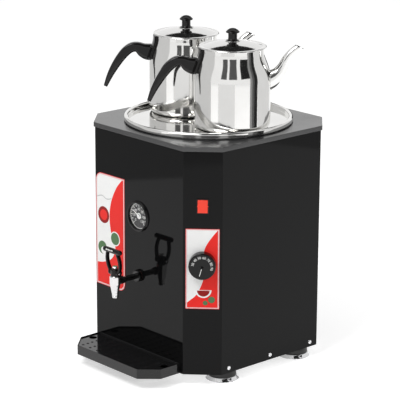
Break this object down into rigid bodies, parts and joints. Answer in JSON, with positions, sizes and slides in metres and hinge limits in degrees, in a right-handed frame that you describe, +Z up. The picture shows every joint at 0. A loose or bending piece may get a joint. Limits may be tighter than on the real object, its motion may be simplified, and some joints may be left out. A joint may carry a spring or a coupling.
{
  "type": "hot water urn",
  "caption": "Electric tea urn: black octagonal water boiler with tap, drip tray, dial thermometer and thermostat, and steel teapots kept hot on its round steel cover.",
  "frame": {"origin": "on the housing's vertical middle axis, at the worktop level that the four feet stand on", "axes": "+Z up; -Y towards the user, where the tap and the drip tray are; +X to the user's right"},
  "size_m": [0.4107, 0.5115, 0.7274],
  "materials": {
    "black_panel": "gloss powder coat",
    "black_metal": "gloss",
    "polished_steel": "polished stainless steel",
    "bright_chrome": "polished plate",
    "zinc_steel": "zinc-plated sheet steel",
    "element_steel": "heat-darkened tube",
    "spring_steel": "drawn wire",
    "copper_bulb": "drawn copper",
    "black_rubber": "moulded",
    "red_rubber": "silicone",
    "black_plastic": "gloss moulding",
    "black_bakelite": "polished phenolic moulding",
    "red_rocker": "translucent, lit when on",
    "red_label": "printed self-adhesive film",
    "dial_face": "printed",
    "needle_paint": "satin",
    "clear_glass": "clear",
    "glass_wool": "matted fibre",
    "white_ceramic": "unglazed"
  },
  "bodies": {
    "housing": {"base_pan": "zinc_steel", "front_wrap": "black_panel", "side_panel_left": "black_panel", "side_panel_right": "black_panel", "rear_wrap": "black_panel", "top_plate": "black_panel", "top_brackets": "zinc_steel", "panel_screws": "bright_chrome", "foot_cups": "black_rubber", "foot_dishes": "bright_chrome", "foot_studs": "zinc_steel", "foot_nuts": "zinc_steel", "tank": "polished_steel", "insulation": "glass_wool", "heating_element": "element_steel", "heater_gasket": "red_rubber", "heater_bolts": "zinc_steel", "dry_boil_cutout": "black_plastic", "rocker_housing": "black_plastic", "thermostat_body": "zinc_steel", "thermostat_bulb": "copper_bulb", "gauge_case": "black_plastic", "gauge_dial": "dial_face", "gauge_glass": "clear_glass", "front_label": "red_label", "control_label": "red_label", "terminal_block": "white_ceramic", "cable_gland": "black_plastic", "gland_nut": "black_plastic", "tap_shank": "black_metal", "tap_gaskets": "red_rubber", "tap_flange_nut": "black_plastic", "tap_back_nut": "zinc_steel", "tap_nozzle": "bright_chrome", "tap_bonnet": "black_plastic", "tray_runners": "zinc_steel"},
    "switch_rocker": {"rocker": "red_rocker"},
    "thermostat_control": {"thermostat_knob": "black_plastic", "thermostat_shaft": "zinc_steel"},
    "thermometer_needle": {"gauge_needle": "needle_paint"},
    "tap_handle": {"tap_lever": "black_plastic", "tap_pin": "bright_chrome"},
    "valve_stem": {"tap_stem": "bright_chrome", "seat_washer": "red_rubber", "tap_spring": "spring_steel"},
    "tray": {"drip_tray": "black_panel"},
    "grate": {"drip_grate": "black_panel"},
    "round_cover": {"cover": "polished_steel", "cover_rim": "polished_steel", "cover_spigot": "polished_steel"},
    "rear_pot": {"teapot_rear": "polished_steel", "spout_rear": "polished_steel", "handle_rear": "black_bakelite"},
    "rear_pot_lid": {"lid_rear": "polished_steel", "lid_knob_rear": "black_bakelite"},
    "front_pot": {"teapot_front": "polished_steel", "spout_front": "polished_steel", "handle_front": "black_bakelite"},
    "front_pot_lid": {"lid_front": "polished_steel", "lid_knob_front": "black_bakelite"}
  },
  "joints": [
    {"name": "rocker_tilt", "type": "hinge", "parent": "housing", "child": "switch_rocker", "pos_m": [0.17041, -0.17041, 0.39], "axis": [0.7071, 0.7071, 0], "range_deg": [0, 14]},
    {"name": "thermostat_turn", "type": "hinge", "parent": "housing", "child": "thermostat_control", "pos_m": [0.1697, -0.1697, 0.266], "axis": [-0.7071, 0.7071, 0], "range_deg": [0, 270]},
    {"name": "gauge_sweep", "type": "hinge", "parent": "housing", "child": "thermometer_needle", "pos_m": [0, -0.19, 0.3375], "axis": [0, 1, 0], "range_deg": [-75, 195], "stiffness_Nm_per_rad": 0.002},
    {"name": "lever_pull", "type": "hinge", "parent": "housing", "child": "tap_handle", "pos_m": [0, -0.2625, 0.2275], "axis": [1, 0, 0], "range_deg": [0, 40], "stiffness_Nm_per_rad": 0.15, "springref_deg": -17.19},
    {"name": "stem_lift", "type": "slide", "parent": "housing", "child": "valve_stem", "axis": [0, 0, 1], "range_m": [0, 0.005], "deforming": ["tap_spring"]},
    {"name": "tray_slide", "type": "slide", "parent": "housing", "child": "tray", "axis": [0, -1, 0], "range_m": [0, 0.09]},
    {"name": "grate_lift", "type": "slide", "parent": "tray", "child": "grate", "axis": [0, 0, 1], "range_m": [0, 0.04]},
    {"name": "cover_lift", "type": "slide", "parent": "housing", "child": "round_cover", "axis": [0, 0, 1], "range_m": [0, 0.06]},
    {"name": "rear_pot_lift", "type": "slide", "parent": "round_cover", "child": "rear_pot", "axis": [0, 0, 1], "range_m": [0, 0.12]},
    {"name": "front_pot_lift", "type": "slide", "parent": "round_cover", "child": "front_pot", "axis": [0, 0, 1], "range_m": [0, 0.12]},
    {"name": "rear_lid_lift", "type": "slide", "parent": "rear_pot", "child": "rear_pot_lid", "axis": [0, 0, 1], "range_m": [0, 0.05]},
    {"name": "front_lid_lift", "type": "slide", "parent": "front_pot", "child": "front_pot_lid", "axis": [0, 0, 1], "range_m": [0, 0.05]}
  ],
  "couplings": [
    {"joint": "stem_lift", "follows": "lever_pull", "m_per_rad": 0.00716}
  ]
}
